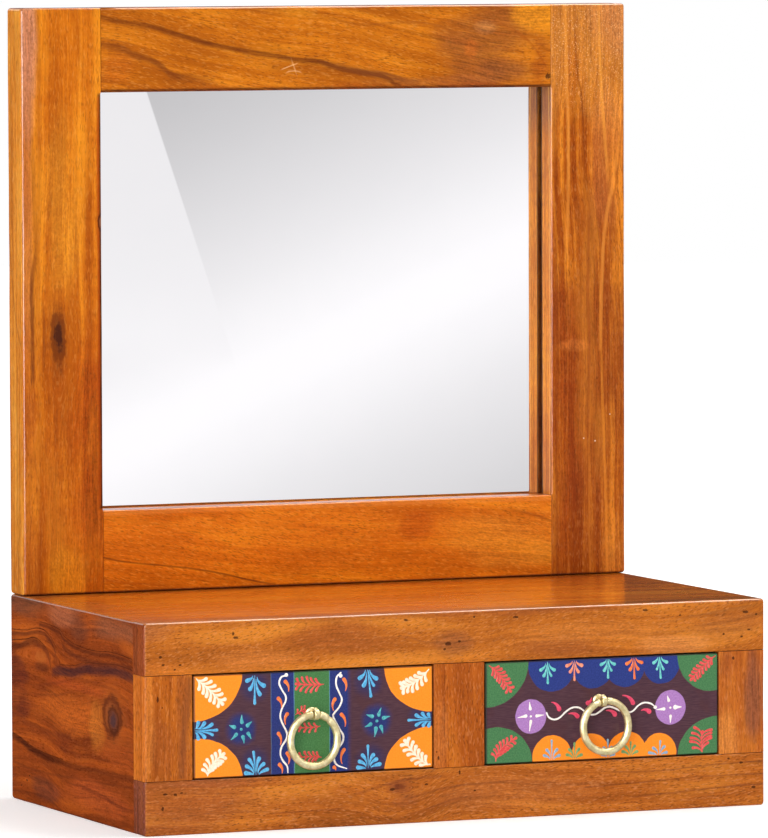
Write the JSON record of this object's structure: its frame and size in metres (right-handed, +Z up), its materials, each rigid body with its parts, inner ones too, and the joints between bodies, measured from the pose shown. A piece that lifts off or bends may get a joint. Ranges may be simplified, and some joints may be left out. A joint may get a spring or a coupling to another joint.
{
  "type": "wall mirror with drawers",
  "caption": "Wooden wall mirror on a shelf case with flush painted drawers that slide out on hanging brass ring pulls.",
  "frame": {"origin": "middle of the bounding box in plan, at floor level, with the drawers closed and the rings hanging", "axes": "+Z up, -Y out of the front where the drawers open, +X to the right seen from the front"},
  "size_m": [0.5, 0.2928, 0.6],
  "materials": {
    "frame_wood": "honey lacquered hardwood, glossy",
    "case_wood": "red-brown lacquered hardwood, glossy",
    "inner_wood": "sanded hardwood, unlacquered",
    "plywood": "plain plywood",
    "painted_front": "hardwood painted with folk ornament in raised strokes",
    "mirror": "silvered flat glass",
    "brass": "pale aged brass, cast and tumbled",
    "steel": "zinc-plated steel",
    "packing": "black packing strip, matte"
  },
  "bodies": {
    "case": {"frame_stile_left": "frame_wood", "frame_stile_right": "frame_wood", "frame_rail_top": "frame_wood", "frame_rail_bottom": "frame_wood", "mirror_packing": "packing", "mirror_glass": "mirror", "mirror_backing_board": "plywood", "case_side_left": "case_wood", "case_side_right": "case_wood", "case_top": "case_wood", "face_rail_top": "case_wood", "face_rail_bottom": "case_wood", "face_post_left": "case_wood", "face_post_centre": "case_wood", "face_post_right": "case_wood", "case_bottom": "inner_wood", "case_back": "inner_wood", "centre_divider": "inner_wood", "drawer_guide_left_outer": "inner_wood", "drawer_guide_left_inner": "inner_wood", "drawer_guide_right_outer": "inner_wood", "drawer_guide_right_inner": "inner_wood", "drawer_kicker_left": "inner_wood", "drawer_kicker_right": "inner_wood", "drawer_stop_left": "inner_wood", "drawer_stop_right": "inner_wood", "backing_screw_1": "steel", "backing_screw_2": "steel", "backing_screw_3": "steel", "backing_screw_4": "steel", "hanging_plate_left": "steel", "hanging_plate_right": "steel", "hanging_plate_screw_left_1": "steel", "hanging_plate_screw_left_2": "steel", "hanging_plate_screw_right_1": "steel", "hanging_plate_screw_right_2": "steel", "frame_screw_left": "steel", "frame_screw_right": "steel", "case_back_screw_1": "steel", "case_back_screw_2": "steel", "case_back_screw_3": "steel", "case_back_screw_4": "steel"},
    "drawer_left": {"drawer_left_front": "painted_front", "drawer_left_side_left": "inner_wood", "drawer_left_side_right": "inner_wood", "drawer_left_back": "inner_wood", "drawer_left_bottom": "plywood", "ring_eye_left": "brass", "ring_eye_nut_left": "steel"},
    "ring_left": {"ring_pull_left": "brass"},
    "drawer_right": {"drawer_right_front": "painted_front", "drawer_right_side_left": "inner_wood", "drawer_right_side_right": "inner_wood", "drawer_right_back": "inner_wood", "drawer_right_bottom": "plywood", "ring_eye_right": "brass", "ring_eye_nut_right": "steel"},
    "ring_right": {"ring_pull_right": "brass"}
  },
  "joints": [
    {"name": "drawer_left_slide", "type": "slide", "parent": "case", "child": "drawer_left", "axis": [0, -1, 0], "range_m": [0, 0.18]},
    {"name": "drawer_right_slide", "type": "slide", "parent": "case", "child": "drawer_right", "axis": [0, -1, 0], "range_m": [0, 0.18]},
    {"name": "ring_left_hinge", "type": "hinge", "parent": "drawer_left", "child": "ring_left", "pos_m": [-0.1186, -0.1421, 0.085], "axis": [-1, 0, 0], "range_deg": [-4, 150]},
    {"name": "ring_right_hinge", "type": "hinge", "parent": "drawer_right", "child": "ring_right", "pos_m": [0.1128, -0.1421, 0.0849], "axis": [-1, 0, 0], "range_deg": [-4, 150]}
  ]
}
